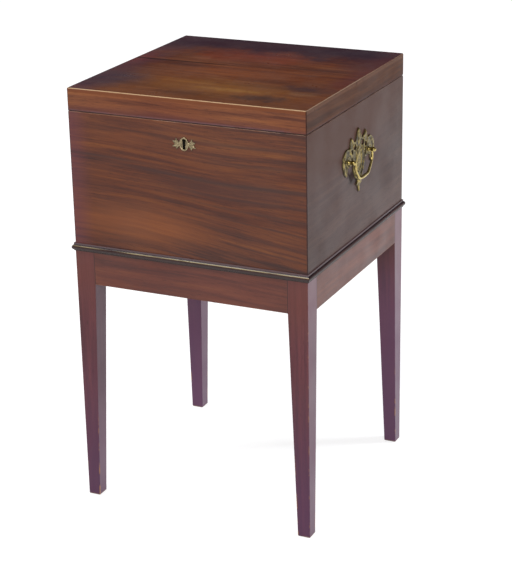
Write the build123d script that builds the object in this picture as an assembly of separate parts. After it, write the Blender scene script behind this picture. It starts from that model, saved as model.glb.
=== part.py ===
from build123d import *
import math
import os

# A square mahogany bottle box with a hinged lid, standing on a frame with four tapered legs.
# Millimetres. The origin is on the floor under the middle of the box, Z is up and the front faces -Y.

# Box
box_width = 430.0
box_depth = 430.0
box_height = 238.5
wall = 14.0
bottom_thickness = 12.0
bottom_rebate = 6.0
corner_rounding = 1.6
rim_rounding = 0.8

# Lid
lid_rail_height = 32.0
lid_board_thickness = 7.0
lid_gap = 0.6
lid_edge_rounding = 2.4
board_joint_behind_centre = 22.0
board_joint_gap = 0.4

# Stand
stand_height = 467.0
box_clearance = 0.3
leg_top = 36.0
leg_foot = 22.2
leg_rounding = 1.0
foot_chamfer = 1.5
apron_height = 63.0
apron_thickness = 20.0
tenon_length = 18.0
tenon_thickness = 8.0
tenon_shoulder = 8.0
mortise_end_gap = 0.5
corner_block_run = 30.0
corner_block_height = 44.0
corner_block_drop = 4.0

# Moulding that laps the joint between stand and box
moulding_lap = 8.5
moulding_foot_drop = 5.0
moulding_projection = 4.6
moulding_step = 1.6
moulding_lower_flat = 1.4
moulding_upper_flat = 3.0

# Bottle dividers
divider_thickness = 8.0
divider_height = 150.0
housing_depth = 3.0
joint_clearance = 0.1

# Hinges
hinge_side_inset = 53.0
hinge_length = 64.0
hinge_leaf_thickness = 1.6
hinge_barrel_diameter = 6.4
hinge_pin_diameter = 2.6
hinge_pin_inset = 3.5
hinge_knuckles = 5
knuckle_gap = 0.15
hinge_clearance = 0.3
lid_open_angle = 95.0
stop_relief_angle = 0.5
hinge_screws_each = 3

# Screws, all of one size, the clearance round anything turned, and how far a cut runs past a face
screw_diameter = 3.0
screw_head_diameter = 6.0
screw_head_height = 1.5
screw_length = 9.5
screw_slot_width = 0.8
screw_slot_depth = 0.7
turned_clearance = 0.05
cut_margin = 1.0

# Lock, let into the inside of the front
lock_plate_width = 80.0
lock_plate_height = 47.0
lock_plate_thickness = 1.6
lock_case_width = 60.0
lock_case_depth = 8.2
lock_case_wall = 1.2
lock_case_foot = 3.0
selvage_width = 11.0
selvage_thickness = 2.0
lock_screw_spread = 70.0
lock_screw_inset = 8.0
bolt_travel = 7.0
bolt_bar_length = 44.0
bolt_bar_height = 9.0
bolt_bar_drop = 12.5
bolt_bar_tail = 5.0
bolt_side_clearance = 0.2
finger_width = 3.0
finger_height = 3.4
finger_length = 7.2
finger_lead = 0.8
finger_drop = 2.0
finger_post = 4.0
lug_thickness = 2.5
lug_width = 5.6
lug_length = 10.0
lug_eye_margin = 1.0
lug_eye_clearance = 0.5
lug_spread = 22.0
lug_middle = 3.0
lug_slot_clearance = 0.5
ledge_height = 3.0
ledge_length = 13.0
talon_width = 7.0
talon_depth = 4.5
drill_pin_diameter = 2.4
drill_pin_length = 8.0
spring_thickness = 0.6
spring_width = 4.0
spring_rise = 6.0
spring_reach = 7.0
spring_foot = 2.0

# Keyhole and its escutcheon
keyhole_drop = 35.2
keyhole_head_diameter = 6.0
keyhole_slot_width = 4.4
keyhole_height = 17.0
keyhole_wood_margin = 0.6
escutcheon_thickness = 1.4
escutcheon_oval_width = 17.0
escutcheon_oval_height = 23.0
escutcheon_pin_diameter = 1.6
escutcheon_pin_length = 3.4
escutcheon_pin_spread = 31.0

# Side handles
handle_drop = 89.5
post_spread = 90.0
post_shank_diameter = 5.0
post_collar_diameter = 9.6
post_collar_height = 1.4
post_neck_diameter = 5.6
post_ball_diameter = 9.0
bail_standoff = 10.8
bail_diameter = 4.8
bail_pin_diameter = 3.4
bail_drop = 34.5
bail_shoulder_drop = 13.0
bail_shoulder_out = 1.6
bail_bottom_width = 40.0
bail_corner_radius = 2.7
bail_shoulder_radius = 14.0
bail_bottom_radius = 16.0
bail_side_gap = 0.3
bail_end_straight = 0.6
backplate_thickness = 1.8
nut_width = 10.0
nut_thickness = 4.0
shank_end = 1.5

# Levels and half sizes that follow from the sizes above
half_width = box_width / 2
half_depth = box_depth / 2
stand_half_width = half_width + box_clearance
stand_half_depth = half_depth + box_clearance
inside_half_width = half_width - wall
inside_half_depth = half_depth - wall
apron_bottom = stand_height - apron_height
box_floor = stand_height + bottom_thickness
joint_level = stand_height + box_height
lid_bottom = joint_level + lid_gap
lid_rail_top = lid_bottom + lid_rail_height
pivot_y = half_depth - hinge_pin_inset
pivot_z = joint_level + lid_gap / 2
lock_middle_y = -inside_half_depth - lock_plate_thickness - (lock_case_depth - lock_case_wall) / 2
keyhole_level = joint_level - keyhole_drop
drill_pin_level = keyhole_level + (keyhole_height - keyhole_head_diameter) / 2
handle_level = joint_level - handle_drop
bolt_bar_top = joint_level - bolt_bar_drop
bolt_bar_bottom = bolt_bar_top - bolt_bar_height
finger_top = joint_level - selvage_thickness - finger_drop


def block(x_range, y_range, z_range):
    """A rectangular block between the given limits."""
    lows = [r[0] for r in (x_range, y_range, z_range)]
    sizes = [r[1] - r[0] for r in (x_range, y_range, z_range)]
    corner_box = Box(*sizes, align=(Align.MIN, Align.MIN, Align.MIN))
    return Pos(*lows) * corner_box


def rod(start, direction, diameter, length):
    """A round rod from a start point along a direction."""
    rod_body = Cylinder(diameter / 2, length, align=(Align.CENTER, Align.CENTER, Align.MIN))
    return Plane(start, z_dir=direction) * rod_body


def prism(points, plane, length):
    """A straight sided outline on a plane, extruded along the plane's normal."""
    return extrude(plane * make_face(Polyline(*points, close=True)), length)


def save(name, shape):
    """Write one sub-part, which may be a group of separate like pieces."""
    solids = shape.solids()
    piece = solids[0] if len(solids) == 1 else Compound(children=list(solids))
    piece.label = name
    export_step(piece, f"parts/{name}.step")


def mirrored_left(shape):
    """The same piece on the other side of the middle plane of the box."""
    return mirror(shape, about=Plane.YZ)


def side_wedge(side, half_x, half_y, inward, outward, z_range):
    """The zone of one side of a square ring, cut at 45 degrees through its corners."""
    long_half, near = (half_x, half_y) if side in ("front", "back") else (half_y, half_x)
    outline = [
        (-long_half - outward, -near - outward),
        (long_half + outward, -near - outward),
        (long_half - inward, -near + inward),
        (-long_half + inward, -near + inward),
    ]
    turn = {"front": 0, "right": 90, "back": 180, "left": 270}[side]
    wedge = prism(outline, Plane.XY.offset(z_range[0]), z_range[1] - z_range[0])
    return Rot(0, 0, turn) * wedge


def wood_ring(z_low, z_high, rounded_edge, rounding):
    """Four walls as one ring, with soft vertical corners and one softened outer edge."""
    ring = block((-half_width, half_width), (-half_depth, half_depth), (z_low, z_high))
    ring = fillet(ring.edges().filter_by(Axis.Z), corner_rounding)
    face = ring.faces().sort_by(Axis.Z)[-1 if rounded_edge == "top" else 0]
    ring = fillet(face.edges(), rounding)
    inner_x = (-inside_half_width, inside_half_width)
    inner_y = (-inside_half_depth, inside_half_depth)
    return ring - block(inner_x, inner_y, (z_low - cut_margin, z_high + cut_margin))


def screw():
    """A slotted countersunk screw, head flush with the origin and shank down -Z."""
    head_radius = screw_head_diameter / 2
    shank_radius = screw_diameter / 2
    head = Pos(0, 0, -screw_head_height / 2) * Cone(shank_radius, head_radius, screw_head_height)
    shank_length = screw_length - screw_head_height
    shank = Pos(0, 0, -screw_head_height - shank_length / 2) * Cylinder(shank_radius, shank_length)
    slot_depth = 2 * screw_slot_depth
    slot = Box(screw_head_diameter + cut_margin, screw_slot_width, slot_depth)
    return head + shank - slot


def screw_hole():
    """The hole that a screw fills, with a turned clearance round it."""
    head_radius = screw_head_diameter / 2 + turned_clearance
    shank_radius = screw_diameter / 2 + turned_clearance
    head = Pos(0, 0, -screw_head_height / 2) * Cone(shank_radius, head_radius, screw_head_height)
    shank = Pos(0, 0, -screw_length / 2) * Cylinder(shank_radius, screw_length + turned_clearance)
    return head + shank


def placed(make, places, normal):
    """A like piece at each place, turned so that its head faces along the normal."""
    return [Plane(place, z_dir=normal) * make() for place in places]


def cut_all(shape, cutters):
    """Take every cutter out of a shape."""
    for cutter in cutters:
        shape = shape - cutter
    return shape


# Stand

def tenon_y_range():
    """Where a tenon lies in the thickness of its apron, from the outer face."""
    first = (apron_thickness - tenon_thickness) / 2
    return first, first + tenon_thickness


def leg():
    """A leg with its outer corner on the Z axis, tapered on its two inner faces."""
    foot = Pos(leg_foot / 2, leg_foot / 2, 0) * Rectangle(leg_foot, leg_foot)
    knee = Pos(leg_top / 2, leg_top / 2, apron_bottom) * Rectangle(leg_top, leg_top)
    body = loft([foot, knee]) + block((0, leg_top), (0, leg_top), (apron_bottom, stand_height))
    body = chamfer(body.faces().sort_by(Axis.Z)[0].edges(), foot_chamfer)
    outer_edges = body.edges().filter_by(Axis.Z).filter_by(lambda edge: edge.center().X + edge.center().Y < 1)
    body = fillet(outer_edges, leg_rounding)
    mortise_depth = tenon_length + mortise_end_gap
    deep = (leg_top - mortise_depth, leg_top)
    across = tenon_y_range()
    upright = (apron_bottom + tenon_shoulder, stand_height - tenon_shoulder)
    body = body - block(deep, across, upright)
    return body - block(across, deep, upright)


def apron(length):
    """A rail between two legs, outer face on Y=0 and centred on X, with a tenon at each end."""
    half = length / 2 - leg_top
    body = block((-half, half), (0, apron_thickness), (apron_bottom, stand_height))
    upright = (apron_bottom + tenon_shoulder, stand_height - tenon_shoulder)
    reach = half + tenon_length
    return body + block((-reach, reach), tenon_y_range(), upright)


def corner_block():
    """A glue block behind a leg, in the corner of two aprons."""
    far = leg_top + corner_block_run
    outline = [
        (leg_top, apron_thickness),
        (far, apron_thickness),
        (apron_thickness, far),
        (apron_thickness, leg_top),
        (leg_top, leg_top),
    ]
    top = stand_height - corner_block_drop
    return prism(outline, Plane.XY.offset(top - corner_block_height), corner_block_height)


def moulding(side):
    """One length of the moulding round the foot of the box, mitred at both ends."""
    bottom = stand_height - moulding_foot_drop
    top = stand_height + moulding_lap
    nose_low = bottom + moulding_lower_flat
    nose_high = top - moulding_upper_flat
    nose_middle = (-moulding_projection, (nose_low + nose_high) / 2)
    edges = [
        Polyline((-moulding_step, nose_low), (-moulding_step, bottom), (0, bottom), (0, top),
                 (-moulding_step, top), (-moulding_step, nose_high)),
        ThreePointArc((-moulding_step, nose_high), nose_middle, (-moulding_step, nose_low)),
    ]
    facing_x = side in ("left", "right")
    near = stand_half_width if facing_x else stand_half_depth
    long_half = (stand_half_depth if facing_x else stand_half_width) + moulding_projection
    section = Plane((-long_half, -near, 0), x_dir=(0, 1, 0), z_dir=(1, 0, 0)) * make_face(Curve() + edges)
    turn = {"front": 0, "right": 90, "back": 180, "left": 270}[side]
    strip = Rot(0, 0, turn) * extrude(section, 2 * long_half)
    wedge = side_wedge(side, stand_half_width, stand_half_depth, wall, 2 * moulding_projection,
                       (bottom - cut_margin, top + cut_margin))
    return strip & wedge


def build_stand():
    corner = Pos(-stand_half_width, -stand_half_depth, 0)
    front_left = corner * leg()
    front_right = mirrored_left(front_left)
    save("leg_front_left", front_left)
    save("leg_front_right", front_right)
    save("leg_back_left", mirror(front_left, about=Plane.XZ))
    save("leg_back_right", mirror(front_right, about=Plane.XZ))
    apron_front = Pos(0, -stand_half_depth, 0) * apron(2 * stand_half_width)
    apron_left = Pos(-stand_half_width, 0, 0) * Rot(0, 0, -90) * apron(2 * stand_half_depth)
    save("apron_front", apron_front)
    save("apron_back", mirror(apron_front, about=Plane.XZ))
    save("apron_left", apron_left)
    save("apron_right", mirrored_left(apron_left))
    block_one = corner * corner_block()
    blocks = block_one + mirrored_left(block_one)
    save("corner_blocks", blocks + mirror(blocks, about=Plane.XZ))
    for side in ("front", "back", "left", "right"):
        save(f"moulding_{side}", moulding(side))


# Hinges, in pairs: the knuckles and pins turn on one line along X

def hinge_middles():
    middle = half_width - hinge_side_inset - hinge_length / 2
    return [("left", -middle), ("right", middle)]


def hinge_screw_places(level):
    """Screw places of both hinges, on a leaf surface at the given level."""
    leaf_inner = pivot_y - hinge_barrel_diameter / 2 - hinge_clearance
    across = (inside_half_depth + leaf_inner) / 2
    pitch = hinge_length / hinge_screws_each
    first = -(hinge_screws_each - 1) / 2 * pitch
    return [(middle + first + i * pitch, across, level)
            for _, middle in hinge_middles() for i in range(hinge_screws_each)]


def stop_wedge(direction):
    """What is cut off the back edge of box or lid, so that the open lid comes to rest there."""
    reach = hinge_pin_inset + cut_margin
    drop = reach * math.tan(math.radians(lid_open_angle / 2 + stop_relief_angle))
    outline = [
        (pivot_y, pivot_z),
        (pivot_y + reach, pivot_z + direction * drop),
        (pivot_y + reach, pivot_z - direction * lid_gap),
        (pivot_y, pivot_z - direction * lid_gap),
    ]
    return prism(outline, Plane.YZ.offset(-half_width - cut_margin), box_width + 2 * cut_margin)


def hinge_recesses(leaf_levels):
    """Room for the leaves and barrels of both hinges."""
    cutters = []
    for _, middle in hinge_middles():
        span = (middle - hinge_length / 2, middle + hinge_length / 2)
        cutters.append(block(span, (inside_half_depth - cut_margin, pivot_y), leaf_levels))
        cove_length = hinge_length + 2 * hinge_clearance
        start = (middle - cove_length / 2, pivot_y, pivot_z)
        cutters.append(rod(start, (1, 0, 0), hinge_barrel_diameter + 2 * hinge_clearance, cove_length))
    return cutters


def hinge_leaf(middle, low, high, first_knuckle):
    """A leaf with every second knuckle of the barrel."""
    left_end = middle - hinge_length / 2
    leaf_edge = pivot_y - hinge_barrel_diameter / 2 - hinge_clearance
    leaf = block((left_end, left_end + hinge_length), (inside_half_depth, leaf_edge), (low, high))
    pitch = (hinge_length + knuckle_gap) / hinge_knuckles
    for i in range(first_knuckle, hinge_knuckles, 2):
        start = left_end + i * pitch
        end = start + pitch - knuckle_gap
        leaf = leaf + rod((start, pivot_y, pivot_z), (1, 0, 0), hinge_barrel_diameter, end - start)
        leaf = leaf + block((start, end), (leaf_edge - cut_margin, pivot_y), (low, high))
    bore = hinge_pin_diameter + 2 * turned_clearance
    start = (left_end - cut_margin, pivot_y, pivot_z)
    return leaf - rod(start, (1, 0, 0), bore, hinge_length + 2 * cut_margin)


def build_hinges():
    box_levels = (joint_level - hinge_leaf_thickness, joint_level)
    lid_levels = (lid_bottom, lid_bottom + hinge_leaf_thickness)
    box_places = hinge_screw_places(joint_level)
    lid_places = hinge_screw_places(lid_bottom)
    for name, middle in hinge_middles():
        box_leaf = hinge_leaf(middle, *box_levels, 0)
        lid_leaf = hinge_leaf(middle, *lid_levels, 1)
        save(f"hinge_{name}_box_leaf", cut_all(box_leaf, placed(screw_hole, box_places, (0, 0, 1))))
        save(f"hinge_{name}_lid_leaf", cut_all(lid_leaf, placed(screw_hole, lid_places, (0, 0, -1))))
        start = (middle - hinge_length / 2, pivot_y, pivot_z)
        save(f"hinge_{name}_pin", rod(start, (1, 0, 0), hinge_pin_diameter, hinge_length))
    save("hinge_box_screws", Compound(children=placed(screw, box_places, (0, 0, 1))))
    save("hinge_lid_screws", Compound(children=placed(screw, lid_places, (0, 0, -1))))


# Lock

def lug_places():
    return [lug_middle + offset * lug_spread for offset in (-0.5, 0.5)]


def keyhole(margin, start_y, length):
    """A keyhole cutter, round above and slotted below, wider all round by a margin."""
    radius = keyhole_head_diameter / 2 + margin
    half_slot = keyhole_slot_width / 2 + margin
    head = rod((0, start_y, drill_pin_level), (0, 1, 0), 2 * radius, length)
    low = keyhole_level - keyhole_height / 2 - margin
    return head + block((-half_slot, half_slot), (start_y, start_y + length), (low, drill_pin_level))


def lock_screw_places():
    heights = (joint_level - lock_screw_inset, joint_level - lock_plate_height + lock_screw_inset)
    return [(side * lock_screw_spread / 2, -inside_half_depth, height)
            for side in (-1, 1) for height in heights]


def lock_spaces():
    """The outlines of plate, selvage and case, which the front is cut for."""
    plate_x = (-lock_plate_width / 2, lock_plate_width / 2)
    plate_y = (-inside_half_depth - lock_plate_thickness, -inside_half_depth)
    case_x = (-lock_case_width / 2, lock_case_width / 2)
    case_y = (plate_y[0] - lock_case_depth, plate_y[0])
    bottom = joint_level - lock_plate_height
    selvage_y = (-inside_half_depth - selvage_width, -inside_half_depth)
    plate = block(plate_x, plate_y, (bottom, joint_level))
    selvage = block(plate_x, selvage_y, (joint_level - selvage_thickness, joint_level))
    case = block(case_x, case_y, (bottom + lock_case_foot, joint_level - selvage_thickness))
    return plate, selvage, case


def lug_slots():
    """Slots in the selvage for the two lugs of the link plate."""
    half_x = lug_thickness / 2 + lug_slot_clearance
    half_y = lug_width / 2 + lug_slot_clearance
    levels = (joint_level - selvage_thickness - cut_margin, joint_level + cut_margin)
    span_y = (lock_middle_y - half_y, lock_middle_y + half_y)
    return [block((x - half_x, x + half_x), span_y, levels) for x in lug_places()]


def lock_bolt():
    """A sliding bar with two fingers that pass through the eyes of the lugs."""
    lead = lug_thickness / 2 + finger_lead
    bar_left = lug_places()[0] - lead - finger_length - finger_post - bolt_bar_tail
    thick = (lock_case_depth - lock_case_wall) / 2 - bolt_side_clearance
    bar_y = (lock_middle_y - thick, lock_middle_y + thick)
    bolt = block((bar_left, bar_left + bolt_bar_length), bar_y, (bolt_bar_bottom, bolt_bar_top))
    finger_y = (lock_middle_y - finger_width / 2, lock_middle_y + finger_width / 2)
    for x in lug_places():
        tip = x - lead
        post_right = tip - finger_length
        bolt = bolt + block((post_right - finger_post, post_right), finger_y, (bolt_bar_top, finger_top))
        bolt = bolt + block((post_right, tip), finger_y, (finger_top - finger_height, finger_top))
    talon_x = (-talon_width / 2 - bolt_travel / 2, talon_width / 2 - bolt_travel / 2)
    return bolt - block(talon_x, bar_y, (bolt_bar_bottom, bolt_bar_bottom + talon_depth))


def lock_case():
    """The iron cap of the lock, open at the top and at the back, with two ledges for the bolt."""
    outside = lock_spaces()[2]
    half = lock_case_width / 2 - lock_case_wall
    back = -inside_half_depth - lock_plate_thickness
    front = back - lock_case_depth
    floor = joint_level - lock_plate_height + lock_case_foot
    depth_inside = (front + lock_case_wall, back)
    case = outside - block((-half, half), depth_inside, (floor + lock_case_wall, joint_level))
    ledge_top = bolt_bar_bottom
    for side in (-1, 1):
        ends = sorted((side * half, side * (half - ledge_length)))
        case = case + block(ends, depth_inside, (ledge_top - ledge_height, ledge_top))
    return case - keyhole(0, front - cut_margin, lock_case_wall + 2 * cut_margin)


def lock_spring():
    """A short leaf that presses the bolt down on its ledges."""
    root = -lock_case_width / 2 + lock_case_wall
    low = bolt_bar_top + turned_clearance
    spring_slant = spring_thickness * spring_rise / (spring_reach - spring_foot)
    tip = root + spring_reach
    outline = [
        (root, low + spring_rise),
        (tip - spring_foot, low),
        (tip, low),
        (tip, low + spring_thickness),
        (tip - spring_foot + spring_slant, low + spring_thickness),
        (root + spring_slant, low + spring_rise),
    ]
    plane = Plane((0, lock_middle_y + spring_width / 2, 0), x_dir=(1, 0, 0), z_dir=(0, -1, 0))
    return prism(outline, plane, spring_width)


def link_plate_screw_places():
    across = -inside_half_depth - selvage_width / 2
    return [(side * lock_screw_spread / 2, across, lid_bottom) for side in (-1, 1)]


def link_plate_space():
    half = lock_plate_width / 2
    across = (-inside_half_depth - selvage_width, -inside_half_depth)
    return block((-half, half), across, (lid_bottom, lid_bottom + selvage_thickness))


def link_plate():
    """The plate under the front of the lid, with two lugs that drop into the lock."""
    plate = link_plate_space()
    half_y = lug_width / 2
    span_y = (lock_middle_y - half_y, lock_middle_y + half_y)
    eye_y = (span_y[0] + lug_eye_margin, span_y[1] - lug_eye_margin)
    eye_z = (finger_top - finger_height - lug_eye_clearance, finger_top + lug_eye_clearance)
    for x in lug_places():
        span_x = (x - lug_thickness / 2, x + lug_thickness / 2)
        lug = block(span_x, span_y, (lid_bottom - lug_length, lid_bottom))
        plate = plate + (lug - block(span_x, eye_y, eye_z))
    return cut_all(plate, placed(screw_hole, link_plate_screw_places(), (0, 0, -1)))


def build_lock():
    plate, selvage, _ = lock_spaces()
    places = lock_screw_places()
    pin_start = (0, -inside_half_depth, drill_pin_level)
    pin = rod(pin_start, (0, -1, 0), drill_pin_diameter, drill_pin_length)
    pin_hole = rod(pin_start, (0, -1, 0), drill_pin_diameter + 2 * turned_clearance, drill_pin_length)
    body = cut_all(plate + selvage, lug_slots() + placed(screw_hole, places, (0, 1, 0)) + [pin_hole])
    save("lock_plate", body)
    save("lock_case", lock_case())
    save("lock_bolt", lock_bolt())
    save("lock_spring", lock_spring())
    save("lock_drill_pin", pin)
    save("lock_screws", Compound(children=placed(screw, places, (0, 1, 0))))
    save("link_plate", link_plate())
    save("link_plate_screws", Compound(children=placed(screw, link_plate_screw_places(), (0, 0, -1))))


# Brass on the outside

def mirrored_face(start, runs):
    """A face symmetric about local Y, from arcs given as end point and sagitta."""
    edges = []
    here = start
    for across, up, sagitta in runs:
        there = (across, up)
        edges.append(SagittaArc(here, there, sagitta))
        here = there
    half = Curve() + edges
    return make_face(half + mirror(half, about=Plane.YZ))


# Half outline of the pierced backplate, clockwise from its top tip to its bottom tip, about the middle
# of the line between the posts: each run is an end point and how far its arc bulges outwards.
backplate_tip = (0.0, 49.0)
backplate_runs = [
    (12.0, 32.0, 1.6), (18.0, 29.0, -1.8), (31.0, 39.0, -1.6), (38.0, 25.0, 1.6), (44.0, 22.5, -1.2),
    (61.0, 19.0, 2.6), (70.0, 5.0, 2.2), (66.0, -11.0, 1.6), (54.0, -23.5, 2.2), (50.0, -12.0, 1.6),
    (40.0, -9.0, -1.5), (31.0, -9.5, 1.0), (25.0, -14.0, -1.8), (20.0, -28.0, 1.8), (11.0, -38.0, 1.6),
    (7.0, -43.0, -1.2), (13.0, -49.0, 1.6), (5.0, -52.0, -1.2), (0.0, -63.0, 0.8),
]
# Piercings: centre across and up, half width, half height
backplate_piercings = [(17.5, 19.5, 5.2, 4.2), (30.5, 14.0, 3.6, 3.0), (30.0, -0.5, 2.8, 4.2)]

# Outline of one wing of the escutcheon, from under the oval out to the leaf tips and back
wing_root = (5.0, 3.4)
wing_runs = [
    (9.0, 3.4, 0.8), (13.4, 9.4, -0.9), (15.4, 5.6, 0.9), (20.4, 5.6, -1.0), (17.4, 0.4, 1.2),
    (22.0, -4.6, -1.1), (16.4, -5.4, 0.9), (14.6, -9.6, -0.9), (9.0, -3.4, 0.9), (5.0, -3.4, 0.4),
]


def post_places():
    return [side * post_spread / 2 for side in (-1, 1)]


def backplate():
    """The pierced plate behind the right handle."""
    plane = Plane((half_width, 0, handle_level), x_dir=(0, 1, 0), z_dir=(1, 0, 0))
    face = mirrored_face(backplate_tip, backplate_runs)
    for across, up, half_across, half_up in backplate_piercings:
        for side in (-1, 1):
            face = face - Pos(side * across, up) * Ellipse(half_across, half_up)
    plate = extrude(plane * face, backplate_thickness)
    shank = post_shank_diameter + 2 * turned_clearance
    starts = [(half_width - cut_margin, across, handle_level) for across in post_places()]
    length = backplate_thickness + 2 * cut_margin
    return cut_all(plate, [rod(start, (1, 0, 0), shank, length) for start in starts])


def posts():
    """Two turned posts that carry the right bail, their shanks going through the wall."""
    inner_end = half_width - wall - nut_thickness - shank_end
    plate_face = half_width + backplate_thickness
    ball_x = half_width + bail_standoff
    bore = bail_pin_diameter + 2 * turned_clearance
    pieces = []
    for across in post_places():
        start = (inner_end, across, handle_level)
        post = rod(start, (1, 0, 0), post_shank_diameter, plate_face - inner_end)
        face = (plate_face, across, handle_level)
        post = post + rod(face, (1, 0, 0), post_collar_diameter, post_collar_height)
        post = post + rod(face, (1, 0, 0), post_neck_diameter, ball_x - plate_face)
        post = post + Pos(ball_x, across, handle_level) * Sphere(post_ball_diameter / 2)
        bore_start = (ball_x, across - post_ball_diameter, handle_level)
        pieces.append(post - rod(bore_start, (0, 1, 0), bore, 2 * post_ball_diameter))
    return Compound(children=pieces)


def nuts():
    """A square nut on the end of each shank, inside the box."""
    half = nut_width / 2
    face = half_width - wall
    pieces = []
    for across in post_places():
        nut = block((face - nut_thickness, face), (across - half, across + half),
                    (handle_level - half, handle_level + half))
        bore = post_shank_diameter + 2 * turned_clearance
        start = (face - nut_thickness - cut_margin, across, handle_level)
        pieces.append(nut - rod(start, (1, 0, 0), bore, nut_thickness + 2 * cut_margin))
    return Compound(children=pieces)


def bail():
    """The swinging handle, hanging between its posts, with a pin at each end that turns in a post."""
    end = post_spread / 2 - post_ball_diameter / 2 - bail_side_gap
    corner = end - bail_end_straight - bail_corner_radius
    half_bottom = bail_bottom_width / 2
    half_points = [
        (end, 0),
        (corner, 0),
        (corner + bail_shoulder_out, -bail_shoulder_drop),
        (half_bottom, -bail_drop),
    ]
    points = half_points + [(-across, up) for across, up in reversed(half_points)]
    half_radii = [bail_corner_radius, bail_shoulder_radius, bail_bottom_radius]
    path = FilletPolyline(*points, radius=half_radii + half_radii[::-1])
    plane = Plane((half_width + bail_standoff, 0, handle_level), x_dir=(0, 1, 0), z_dir=(1, 0, 0))
    wire = Wire((plane * path).edges())
    section = Plane(wire @ 0, z_dir=wire % 0) * Circle(bail_diameter / 2)
    body = sweep(section, path=wire)
    pin_length = post_ball_diameter + bail_side_gap
    for side in (-1, 1):
        start = (half_width + bail_standoff, side * end, handle_level)
        body = body + rod(start, (0, side, 0), bail_pin_diameter, pin_length)
    return body


def escutcheon_pin_places():
    return [(side * escutcheon_pin_spread / 2, -half_depth - escutcheon_thickness, keyhole_level)
            for side in (-1, 1)]


def escutcheon():
    """A cut brass plate round the keyhole: an oval between two leafy wings."""
    face = Ellipse(escutcheon_oval_width / 2, escutcheon_oval_height / 2)
    here = wing_root
    edges = []
    for across, up, sagitta in wing_runs:
        edges.append(SagittaArc(here, (across, up), sagitta))
        here = (across, up)
    edges.append(Line(here, wing_root))
    wing = make_face(Curve() + edges)
    face = face + wing + mirror(wing, about=Plane.YZ)
    plane = Plane((0, -half_depth, keyhole_level), x_dir=(1, 0, 0), z_dir=(0, -1, 0))
    plate = extrude(plane * face, escutcheon_thickness)
    front = -half_depth - escutcheon_thickness - cut_margin
    plate = plate - keyhole(0, front, escutcheon_thickness + 2 * cut_margin)
    bore = escutcheon_pin_diameter + 2 * turned_clearance
    holes = [rod(place, (0, 1, 0), bore, escutcheon_thickness) for place in escutcheon_pin_places()]
    return cut_all(plate, holes)


def escutcheon_pins():
    return Compound(children=[rod(place, (0, 1, 0), escutcheon_pin_diameter,
                                  escutcheon_thickness + escutcheon_pin_length)
                              for place in escutcheon_pin_places()])


def build_brass():
    save("escutcheon", escutcheon())
    save("escutcheon_pins", escutcheon_pins())
    right_pieces = {"backplate": backplate(), "posts": posts(), "nuts": nuts()}
    for name, shape in right_pieces.items():
        save(f"handle_right_{name}", shape)
        save(f"handle_left_{name}", mirrored_left(shape))
    save("bail_right", bail())
    save("bail_left", mirrored_left(bail()))


# Box

def divider_places(inside_half):
    """Where the two dividers of one direction stand, so that the three spaces are equal."""
    space = (2 * inside_half - 2 * divider_thickness) / 3
    return [side * (space + divider_thickness) / 2 for side in (-1, 1)]


def divider_housings():
    """Grooves in the walls that hold the ends of the dividers, cut up from the bottom board."""
    half = divider_thickness / 2 + joint_clearance
    levels = (box_floor, box_floor + divider_height + joint_clearance)
    reach_x = inside_half_width + housing_depth
    reach_y = inside_half_depth + housing_depth
    cutters = [block((x - half, x + half), (-reach_y, reach_y), levels)
               for x in divider_places(inside_half_width)]
    cutters += [block((-reach_x, reach_x), (y - half, y + half), levels)
                for y in divider_places(inside_half_depth)]
    return cutters


def bottom_board():
    reach_x = inside_half_width + bottom_rebate
    reach_y = inside_half_depth + bottom_rebate
    return block((-reach_x, reach_x), (-reach_y, reach_y), (stand_height, box_floor))


def post_bores():
    bore = post_shank_diameter + 2 * turned_clearance
    start_x = -half_width - cut_margin
    return [rod((start_x, across, handle_level), (1, 0, 0), bore, box_width + 2 * cut_margin)
            for across in post_places()]


def escutcheon_pin_bores():
    bore = escutcheon_pin_diameter + 2 * turned_clearance
    depth = escutcheon_thickness + escutcheon_pin_length + turned_clearance
    return [rod(place, (0, 1, 0), bore, depth) for place in escutcheon_pin_places()]


def build_box():
    ring = wood_ring(stand_height, joint_level, "top", rim_rounding)
    cutters = [bottom_board(), stop_wedge(-1)]
    cutters += divider_housings() + post_bores() + escutcheon_pin_bores() + list(lock_spaces())
    cutters += hinge_recesses((joint_level - hinge_leaf_thickness, joint_level))
    cutters += placed(screw_hole, hinge_screw_places(joint_level), (0, 0, 1))
    cutters += placed(screw_hole, lock_screw_places(), (0, 1, 0))
    cutters.append(keyhole(keyhole_wood_margin, -half_depth - cut_margin, wall))
    ring = cut_all(ring, cutters)
    levels = (stand_height - cut_margin, joint_level + cut_margin)
    for side in ("front", "back", "left", "right"):
        wedge = side_wedge(side, half_width, half_depth, wall, cut_margin, levels)
        save(f"box_{side}", ring & wedge)
    save("box_bottom", bottom_board())


def build_dividers():
    top = box_floor + divider_height
    middle = box_floor + divider_height / 2
    below = box_floor - cut_margin
    above = top + cut_margin
    notch_half = divider_thickness / 2 + joint_clearance
    half = divider_thickness / 2
    xs = divider_places(inside_half_width)
    ys = divider_places(inside_half_depth)
    reach_x = inside_half_width + housing_depth - joint_clearance
    reach_y = inside_half_depth + housing_depth - joint_clearance
    for name, x in zip(("left", "right"), xs):
        board = block((x - half, x + half), (-reach_y, reach_y), (box_floor, top))
        notches = [block((x - wall, x + wall), (y - notch_half, y + notch_half), (middle, above))
                   for y in ys]
        save(f"divider_{name}", cut_all(board, notches))
    for name, y in zip(("front", "back"), ys):
        board = block((-reach_x, reach_x), (y - half, y + half), (box_floor, top))
        notches = [block((x - notch_half, x + notch_half), (y - wall, y + wall), (below, middle))
                   for x in xs]
        save(f"divider_{name}", cut_all(board, notches))


# Lid

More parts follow.
